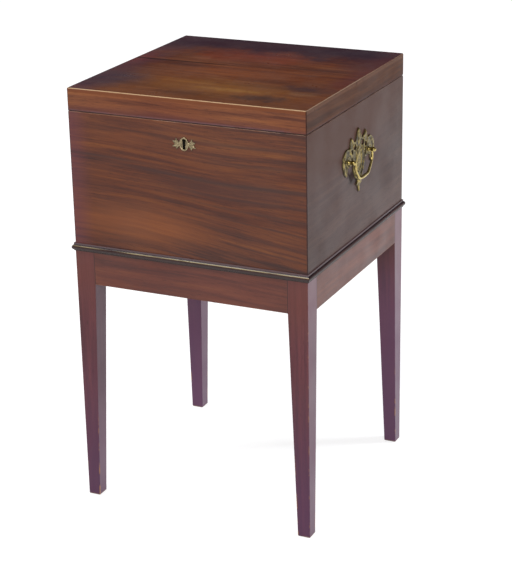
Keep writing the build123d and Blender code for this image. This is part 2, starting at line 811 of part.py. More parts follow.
def build_lid():
    ring = wood_ring(lid_bottom, lid_rail_top, "bottom", rim_rounding)
    cutters = [stop_wedge(1), link_plate_space()]
    cutters += hinge_recesses((lid_bottom, lid_bottom + hinge_leaf_thickness))
    cutters += placed(screw_hole, hinge_screw_places(lid_bottom), (0, 0, -1))
    cutters += placed(screw_hole, link_plate_screw_places(), (0, 0, -1))
    ring = cut_all(ring, cutters)
    levels = (lid_bottom - cut_margin, lid_rail_top + cut_margin)
    for side in ("front", "back", "left", "right"):
        wedge = side_wedge(side, half_width, half_depth, wall, cut_margin, levels)
        save(f"lid_{side}_rail", ring & wedge)
    top = lid_rail_top + lid_board_thickness
    whole = block((-half_width, half_width), (-half_depth, half_depth), (lid_rail_top, top))
    whole = fillet(whole.edges().filter_by(Axis.Z), corner_rounding)
    whole = fillet(whole.faces().sort_by(Axis.Z)[-1].edges(), lid_edge_rounding)
    levels = (lid_rail_top - cut_margin, top + cut_margin)
    across = (-half_width - cut_margin, half_width + cut_margin)
    front_run = (-half_depth - cut_margin, board_joint_behind_centre - board_joint_gap / 2)
    back_run = (board_joint_behind_centre + board_joint_gap / 2, half_depth + cut_margin)
    save("lid_front_board", whole & block(across, front_run, levels))
    save("lid_back_board", whole & block(across, back_run, levels))


def main():
    os.makedirs("parts", exist_ok=True)
    build_stand()
    build_box()
    build_dividers()
    build_lid()
    build_hinges()
    build_lock()
    build_brass()


main()
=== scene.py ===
import math

import bmesh
import bpy
import numpy as np
from mathutils import Matrix, Vector
from mathutils.geometry import delaunay_2d_cdt


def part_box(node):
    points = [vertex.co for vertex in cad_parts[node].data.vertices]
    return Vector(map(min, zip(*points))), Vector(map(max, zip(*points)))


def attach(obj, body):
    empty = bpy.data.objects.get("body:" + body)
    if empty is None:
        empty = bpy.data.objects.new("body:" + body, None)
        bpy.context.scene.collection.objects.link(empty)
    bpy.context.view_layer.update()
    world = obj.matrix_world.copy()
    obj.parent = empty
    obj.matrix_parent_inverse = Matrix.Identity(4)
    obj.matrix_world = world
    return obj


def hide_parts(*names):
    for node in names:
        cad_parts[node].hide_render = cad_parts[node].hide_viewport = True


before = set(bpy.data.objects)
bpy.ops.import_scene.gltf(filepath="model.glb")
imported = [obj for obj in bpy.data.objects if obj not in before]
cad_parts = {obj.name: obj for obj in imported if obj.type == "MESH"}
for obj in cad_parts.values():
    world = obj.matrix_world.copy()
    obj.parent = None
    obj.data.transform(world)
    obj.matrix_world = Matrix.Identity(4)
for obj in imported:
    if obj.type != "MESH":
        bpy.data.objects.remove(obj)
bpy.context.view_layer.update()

# The looks of an old mahogany bottle box on a stand. Metres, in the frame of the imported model: the origin
# is on the floor under the middle, Z is up and the front faces -Y. Lengths named _mm and the outlines of
# the brass are millimetres.
MM = 0.001

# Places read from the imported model
half_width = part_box("box_right")[1].x
half_depth = -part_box("box_front")[0].y
stand_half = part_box("leg_front_right")[1].x
stand_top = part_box("leg_front_right")[1].z
apron_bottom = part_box("apron_front")[0].z
box_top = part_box("box_front")[1].z
lid_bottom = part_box("lid_front_rail")[0].z
lid_rail_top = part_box("lid_front_rail")[1].z
lid_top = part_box("lid_front_board")[1].z
board_joint = (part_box("lid_front_board")[1].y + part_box("lid_back_board")[0].y) / 2
inside_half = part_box("box_right")[0].x
keyhole_level = (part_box("escutcheon")[0].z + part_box("escutcheon")[1].z) / 2
handle_level = (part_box("handle_right_posts")[0].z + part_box("handle_right_posts")[1].z) / 2
moulding_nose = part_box("moulding_right")[1].x

# Widths of the square legs, as in the model
leg_top_width = 36 * MM
leg_foot_width = 22.2 * MM


def rgb(red, green, blue):
    """A colour written in screen values from 0 to 255, as the linear colour that a socket takes."""
    linear = []
    for value in (red, green, blue):
        share = value / 255
        linear.append(share / 12.92 if share <= 0.04045 else ((share + 0.055) / 1.055) ** 2.4)
    return (*linear, 1.0)


class Tree:
    """The nodes of a material or world, with a short method for each kind."""

    def __init__(self, owner):
        owner.use_nodes = True
        self.tree = owner.node_tree
        self.tree.nodes.clear()

    def feed(self, socket, value):
        """Link an output to a socket, or set the socket to a plain value."""
        if isinstance(value, bpy.types.NodeSocket):
            self.tree.links.new(value, socket)
        else:
            socket.default_value = value

    def node(self, kind, *values, **settings):
        """A new node, with its first inputs fed in their order."""
        node = self.tree.nodes.new(f"ShaderNode{kind}")
        for name, value in settings.items():
            setattr(node, name, value)
        for socket, value in zip(node.inputs, values):
            self.feed(socket, value)
        return node

    def math(self, operation, *values):
        return self.node("Math", *values, operation=operation).outputs[0]

    def chain(self, operation, values):
        """One operation over any number of values, from the first to the last."""
        total = values[0]
        for value in values[1:]:
            total = self.math(operation, total, value)
        return total

    def add(self, *values):
        return self.chain("ADD", values)

    def times(self, *values):
        return self.chain("MULTIPLY", values)

    def largest(self, values):
        return self.chain("MAXIMUM", values)

    def apart(self, a, b):
        return self.math("ABSOLUTE", self.math("SUBTRACT", a, b))

    def ramp(self, value, low, high, start=0.0, end=1.0, shape="SMOOTHSTEP"):
        """The value's way from low to high, as a number from start to end."""
        return self.node("MapRange", value, low, high, start, end, interpolation_type=shape).outputs[0]

    def mix(self, factor, a, b, mode="MIX"):
        node = self.node("Mix", factor, data_type="RGBA", blend_type=mode)
        self.feed(node.inputs[6], a)
        self.feed(node.inputs[7], b)
        return node.outputs[2]

    def vector(self, x, y, z):
        return self.node("CombineXYZ", x, y, z).outputs[0]

    def parts(self, vector):
        return list(self.node("SeparateXYZ", vector).outputs)


class Graph(Tree):
    """A material: its shader, places on the piece and masks made from them."""

    def __init__(self, name):
        self.material = bpy.data.materials.new(name)
        super().__init__(self.material)
        self.shader = self.node("BsdfPrincipled")
        self.node("OutputMaterial", self.shader.outputs[0])
        given = self.node("TexCoord").outputs
        self.place, self.facing = given["Object"], given["Normal"]
        self.axes = self.parts(self.place)

    def noise(self, vector, scale, detail=2.0, roughness=0.5):
        node = self.node("TexNoise", vector)
        for socket, value in (("Scale", scale), ("Detail", detail), ("Roughness", roughness)):
            node.inputs[socket].default_value = value
        return node.outputs[0]

    def colours(self, value, stops):
        """A colour ramp through the given (position, colour) stops."""
        node = self.node("ValToRGB", value)
        elements = node.color_ramp.elements
        while len(elements) < len(stops):
            elements.new(0.5)
        for element, (position, colour) in zip(elements, stops):
            element.position = position
            element.color = colour
        return node.outputs[0]

    def bump(self, height, distance, strength):
        node = self.node("Bump")
        node.inputs["Distance"].default_value = distance
        node.inputs["Strength"].default_value = strength
        self.feed(node.inputs["Height"], height)
        self.feed(self.shader.inputs["Normal"], node.outputs[0])

    def span(self, axis, low, high, start=0.0, end=1.0):
        """The way from one place on an axis to another, as a number from start to end."""
        return self.ramp(self.axes[axis], low, high, start, end)

    def off(self, axis, value):
        """How far a point is from a plane across one axis."""
        return self.apart(self.axes[axis], value)

    def near_edge(self, edge, width):
        """A mask that is 1 on an edge along one axis and 0 a width away from it."""
        a, b = [self.off(axis, value) for axis, value in edge]
        distance = self.math("SQRT", self.add(self.times(a, a), self.times(b, b)))
        return self.ramp(distance, width, 0.25 * width)

    def spot(self, centre, radii, warp, axes=(0, 1)):
        """A soft patch round a point of a face, with its edge pushed about by a noise."""
        squares = []
        for axis, middle, radius in zip(axes, centre, radii):
            share = self.math("DIVIDE", self.math("SUBTRACT", self.axes[axis], middle), radius)
            squares.append(self.times(share, share))
        distance = self.add(self.math("SQRT", self.add(*squares)), warp)
        return self.ramp(distance, 1.15, 0.35)

    def set(self, **values):
        """Set or link sockets of the shader by name, with _ for each space."""
        for name, value in values.items():
            self.feed(self.shader.inputs[name.replace("_", " ")], value)


# Wood

# Screen colours of old mahogany, each list from its darkest streaks to its glow
case_tones = [(58, 34, 30), (90, 49, 33), (106, 60, 36), (126, 76, 40)]
# The grey and mauve of the box sides is partly their own bleached tone and partly painted sheen
side_tones_with_sheen = [(60, 45, 45), (78, 59, 56), (88, 67, 61), (102, 77, 65)]
lid_side_tones = [(54, 33, 24), (80, 47, 31), (94, 58, 35), (107, 69, 39)]
lid_front_tones = [(78, 42, 32), (114, 68, 46), (132, 81, 50), (150, 94, 54)]
lid_tones = [(58, 24, 16), (86, 41, 20), (102, 53, 24), (118, 68, 28)]
apron_tones = [(70, 34, 30), (92, 46, 36), (104, 54, 40), (118, 66, 44)]
leg_tones = [(66, 31, 38), (88, 42, 50), (102, 51, 56), (116, 63, 60)]
moulding_tones = [(36, 22, 26), (54, 34, 36), (68, 44, 42), (84, 58, 50)]
bare_tones = [(78, 50, 34), (112, 76, 50), (132, 94, 62), (150, 112, 76)]

# Colours that several pieces share
worn_tone = (150, 104, 78)
dusty_tone = (104, 70, 46)
pore_tone = (30, 18, 16)
corner_tone = (36, 20, 20)
joint_tone = (34, 18, 20)
streak_tone = (46, 34, 36)

# Single dark streaks of the front: height, half width in millimetres, strength, and the places across at
# which each starts and is full
front_streaks = [
    (0.637, 4, 0.55, 0.0, -0.14), (0.664, 5, 0.40, -0.02, 0.12), (0.694, 5, 0.50, -0.08, 0.10),
    (0.628, 6, 0.60, -0.17, -0.06), (0.604, 4, 0.45, -0.10, 0.06), (0.588, 3, 0.45, -0.06, 0.10),
    (0.572, 2, 0.40, -0.02, 0.10), (0.553, 2, 0.35, 0.02, 0.12), (0.536, 2, 0.35, 0.0, 0.12),
    (0.515, 3, 0.35, 0.02, 0.14),
]

# Glow and shade on the front: middle across and up, half width and half height, colour, strength
front_patches = [
    (-0.09, 0.525, 0.20, 0.050, (140, 80, 44), 0.50), (-0.10, 0.672, 0.14, 0.018, (132, 74, 40), 0.20),
    (0.10, 0.600, 0.22, 0.035, (66, 42, 40), 0.45),
]

# Stains and bleached patches of the lid, each over the last: middle across and deep, half width and half
# depth, colour, strength
lid_stains = [
    (-0.01, 0.095, 0.200, 0.070, (110, 40, 22), 0.65), (0.02, -0.02, 0.200, 0.070, (122, 64, 30), 0.45),
    (0.02, -0.130, 0.200, 0.090, (112, 70, 26), 0.60), (-0.195, -0.13, 0.125, 0.12, (48, 33, 45), 0.96),
    (-0.195, 0.165, 0.090, 0.090, (40, 14, 30), 0.85), (-0.205, 0.02, 0.035, 0.07, (108, 40, 34), 0.42),
    (0.155, 0.180, 0.130, 0.060, (40, 23, 36), 0.80), (0.185, 0.10, 0.070, 0.080, (58, 26, 34), 0.75),
    (0.05, -0.135, 0.080, 0.014, (140, 98, 44), 0.40), (-0.04, -0.105, 0.07, 0.014, (126, 82, 36), 0.35),
    (-0.02, -0.178, 0.070, 0.018, (62, 30, 14), 0.65), (-0.10, 0.062, 0.034, 0.020, (136, 82, 56), 0.25),
    (0.165, -0.122, 0.036, 0.018, (126, 100, 78), 0.22), (0.16, -0.09, 0.056, 0.028, (34, 16, 30), 0.80),
    (0.112, -0.168, 0.060, 0.028, (40, 26, 28), 0.75),
]

# A stain no deeper than this has a ragged edge
small_stain = 0.03

# Painted shadow of each bail on the wood below its corners: across and up from the line between its posts,
# half width and half height in millimetres, and how dark it is
bail_shadow_spots = [(-29.0, -30.0, 18.0, 16.0, 0.62), (30.0, -30.0, 15.0, 13.0, 0.35)]

# Painted shade in a strip of the front behind the keyhole
keyhole_shade_half_width = 5.0 * MM
keyhole_shade_half_height = 10.4 * MM
keyhole_shade_fade = 0.8 * MM


def front_and_back_edges(level):
    return [((1, end * half_depth), (2, level)) for end in (-1, 1)]


def side_edges(level):
    return [((0, side * half_width), (2, level)) for side in (-1, 1)]


class Wood(Graph):
    """Mahogany cut from the solid: its streaks, fibres and pores run on through every face."""

    def __init__(self, name, grain, across, tones, seed, slope=0.0, fan=None, contrast=1.0):
        super().__init__(name)
        rest = 3 - grain - across
        along = self.axes[grain]
        curve = self.times(along, slope)
        if fan:
            high, low, steeper = fan
            far = self.math("MAXIMUM", self.add(along, 0.10), 0.0)
            curve = self.add(curve, self.times(far, self.ramp(self.axes[across], high, low, 0.0, steeper)))
        wander = self.noise(self.vector(self.times(along, 3.0), self.times(self.axes[across], 5.0), seed),
                            1.0, detail=1.0)
        lean = self.add(self.axes[across], curve, self.times(wander, 0.024))
        depth = self.add(self.axes[rest], seed)

        def layer(share, scale, detail, roughness=0.5):
            """A noise that is drawn out along the grain."""
            return self.noise(self.vector(self.times(along, share), lean, depth), scale, detail, roughness)

        bands = self.ramp(layer(0.09, 24.0, 3.0, 0.55), 0.30, 0.70)
        streaks = self.ramp(layer(0.04, 120.0, 3.0, 0.65), 0.30, 0.70)
        fibres = layer(0.03, 520.0, 2.0)
        pores = layer(0.07, 1100.0, 1.0)
        patches = self.ramp(layer(0.5, 9.0, 2.0), 0.35, 0.68)
        figure = self.add(self.times(bands, 0.26), self.times(streaks, 0.42), self.times(fibres, 0.32))
        spread = self.add(self.times(self.math("SUBTRACT", figure, 0.5), contrast), 0.5)
        dark, middle, light, glow = [rgb(*tone) for tone in tones]
        colour = self.colours(spread, [(0.18, dark), (0.42, middle), (0.62, light), (0.85, glow)])
        colour = self.mix(self.times(patches, 0.35), colour, glow, "SOFT_LIGHT")
        pore_mask = self.ramp(pores, 0.42, 0.30)
        self.colour = self.mix(self.times(pore_mask, 0.35), colour, rgb(*pore_tone))
        self.streaks, self.wander, self.lean = streaks, wander, lean
        self.height = self.add(self.times(fibres, 0.5), self.times(pore_mask, -0.8))
        self.seed, self.grain = seed, grain
        self.matte = None

    def scuffs(self, scale):
        """A ragged noise that breaks up wear."""
        shifted = self.vector(self.axes[0], self.axes[1], self.add(self.axes[2], self.seed))
        return self.noise(shifted, scale, detail=3.0, roughness=0.65)

    def facing_to(self, axis, low, high):
        """A mask of the faces that look to one end of an axis."""
        return self.ramp(self.parts(self.facing)[axis], low, high)

    def facing_along(self, axis):
        """A mask of the faces that look to either end of an axis."""
        return self.math("MAXIMUM", self.facing_to(axis, 0.4, 0.8), self.facing_to(axis, -0.4, -0.8))

    def wear_and_highlight(self, edges, width, colour, amount, scale=60.0, low=0.38, high=0.62, where=1.0):
        """A lighter colour along edges: polish worn through, and on the arrises of the lid top also a
        painted highlight.
        """
        mask = self.times(self.largest([self.near_edge(edge, width) for edge in edges]), where)
        self.tint(self.times(mask, self.ramp(self.scuffs(scale), low, high)), colour, amount)

    def line(self, masks, colour, amount):
        """A thin dark line where two pieces meet."""
        self.tint(self.largest(masks), colour, amount)

    def tint(self, mask, colour, amount):
        """A screen colour over what lies under a mask."""
        self.colour = self.mix(self.times(mask, amount), self.colour, rgb(*colour))

    def streak(self, level, width, colour, amount, start, full):
        """One broad streak of its own that follows the grain, from where it starts to where it is full."""
        mask = self.times(self.ramp(self.apart(self.lean, level), width, 0.15 * width),
                          self.ramp(self.streaks, 0.1, 0.7, 0.55, 1.0), self.span(self.grain, start, full))
        self.tint(mask, colour, amount)

    def finish(self, specular, roughness=0.36, relief=0.05 * MM):
        worn = self.noise(self.place, 14.0, detail=3.0)
        rough = self.ramp(worn, 0.3, 0.7, roughness - 0.07, roughness + 0.09, "LINEAR")
        if self.matte:
            rough = self.math("MAXIMUM", rough, self.matte)
        self.set(Base_Color=self.colour, Roughness=rough, Specular_IOR_Level=specular)
        self.bump(self.height, relief, 0.6)
        return self.material


def bare_inside(wood):
    """The inner faces of box and lid, which were never polished and are dusty."""
    far = wood.largest([wood.math("ABSOLUTE", axis) for axis in wood.axes[:2]])
    inner = wood.ramp(far, inside_half + 2.4 * MM, inside_half + 0.6 * MM)
    bare = wood.mix(wood.ramp(wood.scuffs(22.0), 0.35, 0.7), rgb(*dusty_tone), rgb(128, 92, 62))
    bare = wood.mix(wood.times(wood.streaks, 0.5), bare, rgb(92, 60, 40))
    wood.colour = wood.mix(wood.times(inner, 0.85), wood.colour, bare)


def corner_lines(wood):
    """Soft dark lines down the mitred corners of the case."""
    corners = [wood.near_edge(((0, side * half_width), (1, end * half_depth)), 2.2 * MM)
               for side in (-1, 1) for end in (-1, 1)]
    wood.line(corners, corner_tone, 0.75)


def finish_case(wood, specular):
    wood.wear_and_highlight(front_and_back_edges(box_top), 1.4 * MM, (166, 128, 104), 0.42, 24.0, 0.30, 0.55)
    wood.wear_and_highlight(side_edges(box_top), 1.4 * MM, (120, 92, 76), 0.4)
    corner_lines(wood)
    bare_inside(wood)
    return wood.finish(specular)


def case_front(name):
    """The front: its streaks fall to the right, its left is redder, and a strip behind the keyhole is
    painted dark as shade.
    """
    wood = Wood(name, 0, 2, case_tones, 3.7, slope=0.045, fan=(0.60, 0.50, 0.07), contrast=0.95)
    warp = wood.times(wood.wander, 0.5)
    for *place, colour, amount in front_patches:
        wood.tint(wood.spot(place[:2], place[2:], warp, (0, 2)), colour, amount)
    wood.tint(wood.span(0, -0.17, -0.214), (104, 58, 72), 0.42)
    for level, width, amount, start, full in front_streaks:
        wood.streak(level, width * MM, streak_tone, amount, start, full)
    # Painted shade behind and inside the keyhole
    beside = wood.ramp(wood.off(0, 0.0), keyhole_shade_half_width, keyhole_shade_half_width - keyhole_shade_fade)
    within = wood.ramp(wood.off(2, keyhole_level), keyhole_shade_half_height, keyhole_shade_half_height - keyhole_shade_fade)
    wood.tint(wood.times(beside, within), (10, 8, 8), 1.0)
    return finish_case(wood, 0.30)


def case_side(name, seed):
    """A side: grey, partly bleached and partly painted sheen, browner at the top, with painted shadow of
    the bail.
    """
    wood = Wood(name, 1, 2, side_tones_with_sheen, seed, slope=-0.03, contrast=0.45)
    upper = wood.ramp(wood.add(wood.axes[2], wood.times(wood.wander, 0.06)), 0.610, 0.715)
    wood.tint(wood.times(upper, wood.span(1, 0.20, 0.0, 0.6, 1.0)), (70, 38, 25), 0.90)
    # Painted shadow of the bail on the wood; the same mask also makes the wood rougher there
    warp = wood.add(wood.times(wood.scuffs(75.0), 0.9), -0.38)
    darkening = []
    for across, up, wide, high, dark in bail_shadow_spots:
        spot = wood.spot((across * MM, handle_level + up * MM), (wide * MM, high * MM), warp, (1, 2))
        darkening.append(wood.times(spot, dark))
    wood.matte = wood.largest(darkening)
    wood.tint(wood.matte, (20, 13, 13), 1.0)
    return finish_case(wood, 0.10)


def case_back(name):
    return finish_case(Wood(name, 0, 2, case_tones, 9.1, slope=-0.05, contrast=0.7), 0.34)


def lid_rail(name, grain, seed, contrast):
    """A rail of the lid: scuffed along its lower edge, over the dark line of the joint."""
    tones, specular = ((lid_front_tones, 0.22), (lid_side_tones, 0.045))[grain]
    wood = Wood(name, grain, 2, tones, seed, slope=0.02, contrast=contrast)
    scuffed = 0.15
    if grain == 0:
        scuffed = 0.45
        wood.tint(wood.ramp(wood.lean, lid_bottom + 30 * MM, lid_bottom + 16 * MM), (78, 42, 48), 0.40)
    edges = front_and_back_edges(lid_bottom) + side_edges(lid_bottom)
    wood.wear_and_highlight(edges, 5.0 * MM, (116, 92, 102), scuffed, 24.0, 0.25, 0.55)
    shut = wood.span(1, 0.0, 0.18, 1.0, 0.35)
    wood.line([wood.times(wood.near_edge(edge, 2.0 * MM), shut) for edge in edges], (24, 12, 14), 0.9)
    corner_lines(wood)
    bare_inside(wood)
    return wood.finish(specular)


def lid_board(name):
    """The top: stained, bleached in the middle, and light along its edges, where the polish is worn and a
    highlight is painted.
    """
    wood = Wood(name, 0, 1, lid_tones, 5.3, slope=0.05, contrast=0.9)
    across, deep = wood.axes[:2]
    warp = wood.add(wood.times(wood.scuffs(16.0), 0.85), wood.times(wood.scuffs(70.0), 0.45), -0.375)
    ragged = wood.add(wood.times(wood.scuffs(42.0), 1.9), -0.85)
    near_top = wood.span(2, lid_rail_top + 1 * MM, lid_top - 1 * MM)
    soaked = wood.times(near_top, wood.ramp(wood.streaks, 0.1, 0.8, 0.68, 1.0))

    def toward(place, pushed, low, high):
        """A mask of the top that grows toward one of its sides, with a wavy edge."""
        return wood.ramp(wood.add(place, wood.times(warp, pushed)), low, high)

    right = wood.times(toward(across, 0.06, 0.185, 0.225), wood.span(1, -0.14, -0.02, 0.25, 1.0))
    for side, colour, amount in ((toward(deep, 0.10, 0.02, -0.09), (106, 66, 30), 0.28),
                                 (toward(deep, 0.14, 0.115, 0.205), (40, 15, 31), 0.96),
                                 (toward(across, -0.08, -0.165, -0.225), (66, 37, 48), 0.75),
                                 (right, (76, 34, 36), 0.60)):
        wood.tint(wood.times(near_top, side), colour, amount)
    for *place, colour, amount in lid_stains:
        edge = ragged if place[3] <= small_stain else warp
        wood.tint(wood.times(soaked, wood.spot(place[:2], place[2:], edge)), colour, amount)
    dull = wood.times(wood.ramp(wood.scuffs(30.0), 0.38, 0.80),
                      wood.ramp(wood.streaks, 0.2, 0.9, 0.35, 1.0), wood.span(1, 0.17, 0.07, 0.3, 1.0))
    wood.tint(dull, (112, 80, 62), 0.20)
    wood.tint(wood.ramp(wood.scuffs(110.0), 0.56, 0.70), (44, 22, 26), 0.25)
    wood.tint(wood.facing_to(2, -0.4, -0.8), dusty_tone, 0.40)
    wood.tint(wood.facing_along(1), (126, 78, 56), 0.75)
    wood.tint(wood.facing_along(0), (98, 70, 54), 0.75)
    crack = wood.ramp(wood.off(1, board_joint), 5.5 * MM, 1.0 * MM)
    wood.tint(wood.times(crack, wood.span(0, 0.03, -0.09, 0.12, 1.0)), (34, 10, 12), 0.9)
    wood.streak(board_joint - 8 * MM, 5 * MM, (58, 24, 20), 0.5, -0.14, -0.05)
    # Pale lines along the arrises of the top: worn polish and a painted highlight
    wood.wear_and_highlight(front_and_back_edges(lid_top), 1.9 * MM, (216, 190, 150), 0.88, 12.0, 0.26, 0.46)
    wood.wear_and_highlight(side_edges(lid_top), 1.7 * MM, (178, 160, 138), 0.75, 12.0, 0.28, 0.50,
              where=wood.span(1, 0.14, -0.04, 0.35, 1.0))
    corner_lines(wood)
    return wood.finish(0.03, roughness=0.34)


def leg_wood(name, side, end, seed):
    """A leg: warm at the top, greyer and violet down to its scuffed foot, the violet being a painted sheen
    of the floor, lighter on faces that look right.
    """
    wood = Wood(name, 2, 0, leg_tones, seed, slope=0.01, contrast=0.7)
    # Painted sheen of the floor: violet toward the feet, weaker on faces that look behind or left, higher
    # up on the back legs
    not_behind = wood.facing_to(1, 0.7, 0.3)
    looking_left = wood.facing_to(0, -0.4, -0.8)
    lower = wood.times(wood.span(2, 0.34, 0.0), wood.ramp(not_behind, 0.0, 1.0, 0.35, 1.0),
                       wood.ramp(looking_left, 0.0, 1.0, 1.0, 0.45))
    wood.tint(lower, (80, 42, 78), 0.75)
    if end > 0:
        wood.tint(wood.times(wood.span(2, 0.46, 0.24), not_behind), (104, 66, 98), 0.60)
    wood.tint(wood.span(2, 0.32, 0.44), (100, 52, 40), 0.60)
    # Painted sheen: faces that look right are painted lighter and greyer, and faces that look left browner
    wood.tint(wood.facing_to(0, 0.4, 0.8), (122, 96, 112), 0.50)
    wood.tint(looking_left, (104, 72, 66), 0.30)
    outer_corner = ((0, side * stand_half), (1, end * stand_half))
    wood.wear_and_highlight([outer_corner], 2.4 * MM, (146, 104, 78), 0.55, 90.0, 0.52, 0.66)
    taper = (leg_top_width - leg_foot_width) / apron_bottom
    inner = wood.add(stand_half - leg_foot_width, wood.times(wood.axes[2], -taper))
    for axis, toward, other, at in ((0, side, 1, end), (1, end, 0, side)):
        across = wood.apart(wood.times(wood.axes[axis], toward), inner)
        distance = wood.math("MAXIMUM", across, wood.off(other, at * stand_half))
        corner = wood.times(wood.ramp(distance, 2.2 * MM, 0.4 * MM), wood.span(2, 0.20, 0.05),
                            wood.ramp(wood.scuffs(45.0), 0.50, 0.60))
        wood.tint(corner, (170, 122, 78), 0.8)
    rim = wood.times(wood.span(2, 4 * MM, 0.6 * MM), wood.ramp(wood.scuffs(70.0), 0.35, 0.55))
    wood.tint(rim, (150, 116, 96), 0.8)
    above = wood.span(2, apron_bottom - 0.5 * MM, apron_bottom + 0.5 * MM)
    wood.line([wood.times(leg_joint(wood, axis, toward), above) for axis, toward in ((0, side), (1, end))],
              joint_tone, 0.8)
    return wood.finish(0.36)


def leg_joint(wood, axis, side):
    """A mask of the thin line where a leg meets an apron."""
    return wood.ramp(wood.off(axis, side * (stand_half - leg_top_width)), 0.9 * MM, 0.2 * MM)


def apron_wood(name, grain, seed):
    wood = Wood(name, grain, 2, apron_tones, seed, slope=0.02, contrast=0.8)
    wood.line([leg_joint(wood, grain, side) for side in (-1, 1)], joint_tone, 0.8)
    low_edges = [((1 - grain, side * stand_half), (2, apron_bottom)) for side in (-1, 1)]
    wood.wear_and_highlight(low_edges, 1.6 * MM, worn_tone, 0.5)
    return wood.finish(0.40, roughness=0.38)


def moulding_wood(name, grain, seed):
    """The dark moulding: painted light on its top strip, painted shade in its groove and below its nose,
    and in front and behind a thin pale line on its nose, partly wear and partly painted highlight.
    """
    wood = Wood(name, grain, 2, moulding_tones, seed, contrast=0.8)

    def height(low_mm, high_mm):
        return wood.span(2, stand_top + low_mm * MM, stand_top + high_mm * MM)

    def thin_line(level_mm):
        return wood.ramp(wood.off(2, stand_top + level_mm * MM), 0.9 * MM, 0.3 * MM)

    # Painted light on the top strip, painted shade below the nose and in the groove above it
    wood.tint(height(5.4, 6.2), (112, 92, 96), 0.45)
    wood.tint(height(3.4, 1.8), (42, 26, 22), 0.65)
    wood.tint(thin_line(5.2), (22, 12, 18), 0.85)
    # The pale line high on the nose, in front and behind: partly wear, partly painted highlight
    out = wood.ramp(wood.off(1 - grain, 0.0), moulding_nose - 2.8 * MM, moulding_nose - 1.6 * MM)
    along = wood.ramp(wood.add(wood.scuffs(9.0), wood.times(wood.axes[grain], 0.5)), 0.30, 0.55)
    nose_wear_and_highlight, specular = ((0.42, 0.36), (0.0, 0.12))[grain]
    wood.tint(wood.times(thin_line(3.9), out, along), (216, 198, 146), nose_wear_and_highlight)
    return wood.finish(specular, roughness=0.30)


def inner_wood(name, grain, across, seed):
    wood = Wood(name, grain, across, bare_tones, seed, contrast=0.8)
    wood.tint(wood.ramp(wood.scuffs(16.0), 0.45, 0.72), (146, 122, 96), 0.45)
    return wood.finish(0.25, roughness=0.72, relief=0.1 * MM)


# Metal

# The attribute that tells how high each point of a relief stands, as a share of its highest ones
lift_name = "lift"


class Metal(Graph):
    """Metal with a skin of tarnish, scratches and dirt. A relief is bright where it is high."""

    def __init__(self, name, bright, dull, darkening, roughness, dirt_share=0.5, relief=False):
        super().__init__(name)
        bright, dull, darkening = rgb(*bright), rgb(*dull), rgb(*darkening)
        blotches = self.ramp(self.noise(self.place, 160.0, detail=4.0, roughness=0.6), 0.36, 0.66)
        fine = self.noise(self.place, 900.0, detail=3.0, roughness=0.6)
        drawn = [self.times(axis, scale) for axis, scale in zip(self.axes, (400.0, 90.0, 2600.0))]
        scratches = self.noise(self.vector(*drawn), 1.0, detail=2.0)
        colour = self.mix(blotches, bright, dull)
        colour = self.mix(self.ramp(fine, 0.55, 0.75), colour, darkening)
        grime = self.times(self.ramp(fine, 0.35, 0.65), dirt_share)
        metallic = 1.0
        if relief:
            height = self.node("Attribute", attribute_name=lift_name).outputs["Fac"]
            low = self.ramp(self.add(height, self.times(blotches, -0.12)), 0.60, 0.20)
            colour = self.mix(self.times(low, 0.85), colour, darkening)
            high = self.ramp(height, 0.70, 1.0)
            colour = self.mix(self.times(high, 0.6), colour, bright)
            grime = self.math("MAXIMUM", grime, self.times(low, 0.8))
            metallic = self.ramp(low, 0.0, 1.0, 1.0, 0.55)
        rough = self.add(roughness, self.times(grime, 0.28))
        self.set(Base_Color=colour, Metallic=metallic, Roughness=rough)
        self.bump(self.add(fine, self.times(scratches, 0.5)), 0.05 * MM, 0.5)


cast_brass = Metal("cast_brass", (164, 146, 90), (94, 80, 44), (24, 17, 8), 0.25, relief=True)
rubbed_brass = Metal("rubbed_brass", (196, 176, 112), (124, 106, 58), (26, 18, 8), 0.22, relief=True)
worn_brass = Metal("worn_brass", (160, 144, 114), (112, 102, 80), (66, 48, 34), 0.36, relief=True)
plain_brass = Metal("plain_brass", (178, 152, 98), (140, 116, 70), (66, 50, 30), 0.36)
screw_brass = Metal("screw_brass", (180, 154, 100), (132, 108, 68), (46, 34, 22), 0.34, 0.7)
rust = (70, 40, 26)
lock_iron = Metal("lock_iron", (96, 90, 86), (66, 60, 57), rust, 0.50, 0.8)
pin_iron = Metal("hinge_pin_iron", (132, 128, 122), (92, 88, 84), rust, 0.50, 0.8)


# Mesh making

def added(name, data):
    """A new object of the scene."""
    thing = bpy.data.objects.new(name, data)
    bpy.context.scene.collection.objects.link(thing)
    return thing


def shown(name, bm, metal, body, node, lift, sharp_angle=38.0):
    """Turn a bmesh into a smooth shaded piece of brass that rides a body and stands for a CAD node."""
    bmesh.ops.recalc_face_normals(bm, faces=bm.faces)
    for face in bm.faces:
        face.smooth = True
    for edge in bm.edges:
        if len(edge.link_faces) == 2:
            edge.smooth = edge.calc_face_angle() < math.radians(sharp_angle)
    mesh = bpy.data.meshes.new(name)
    bm.to_mesh(mesh)
    bm.free()
    values = mesh.attributes.new(lift_name, "FLOAT", "POINT")
    for item, vertex in zip(values.data, mesh.vertices):
        item.value = lift(vertex.co)
    mesh.materials.append(metal.material)
    piece = added(name, mesh)
    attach(piece, body)
    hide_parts(node)


def run_points(start, runs, step):
    """Points along shallow arcs from a start point. Each arc has an end point and a bulge to its left."""
    points = [np.array(start, float)]
    for across, up, bulge in runs:
        begin = points[-1]
        chord = np.array([across, up]) - begin
        length = np.hypot(*chord)
        left = np.array([-chord[1], chord[0]]) / length
        count = max(2, math.ceil(length / step))
        for i in range(1, count + 1):
            share = i / count
            points.append(begin + chord * share + left * bulge * 4 * share * (1 - share))
    return points


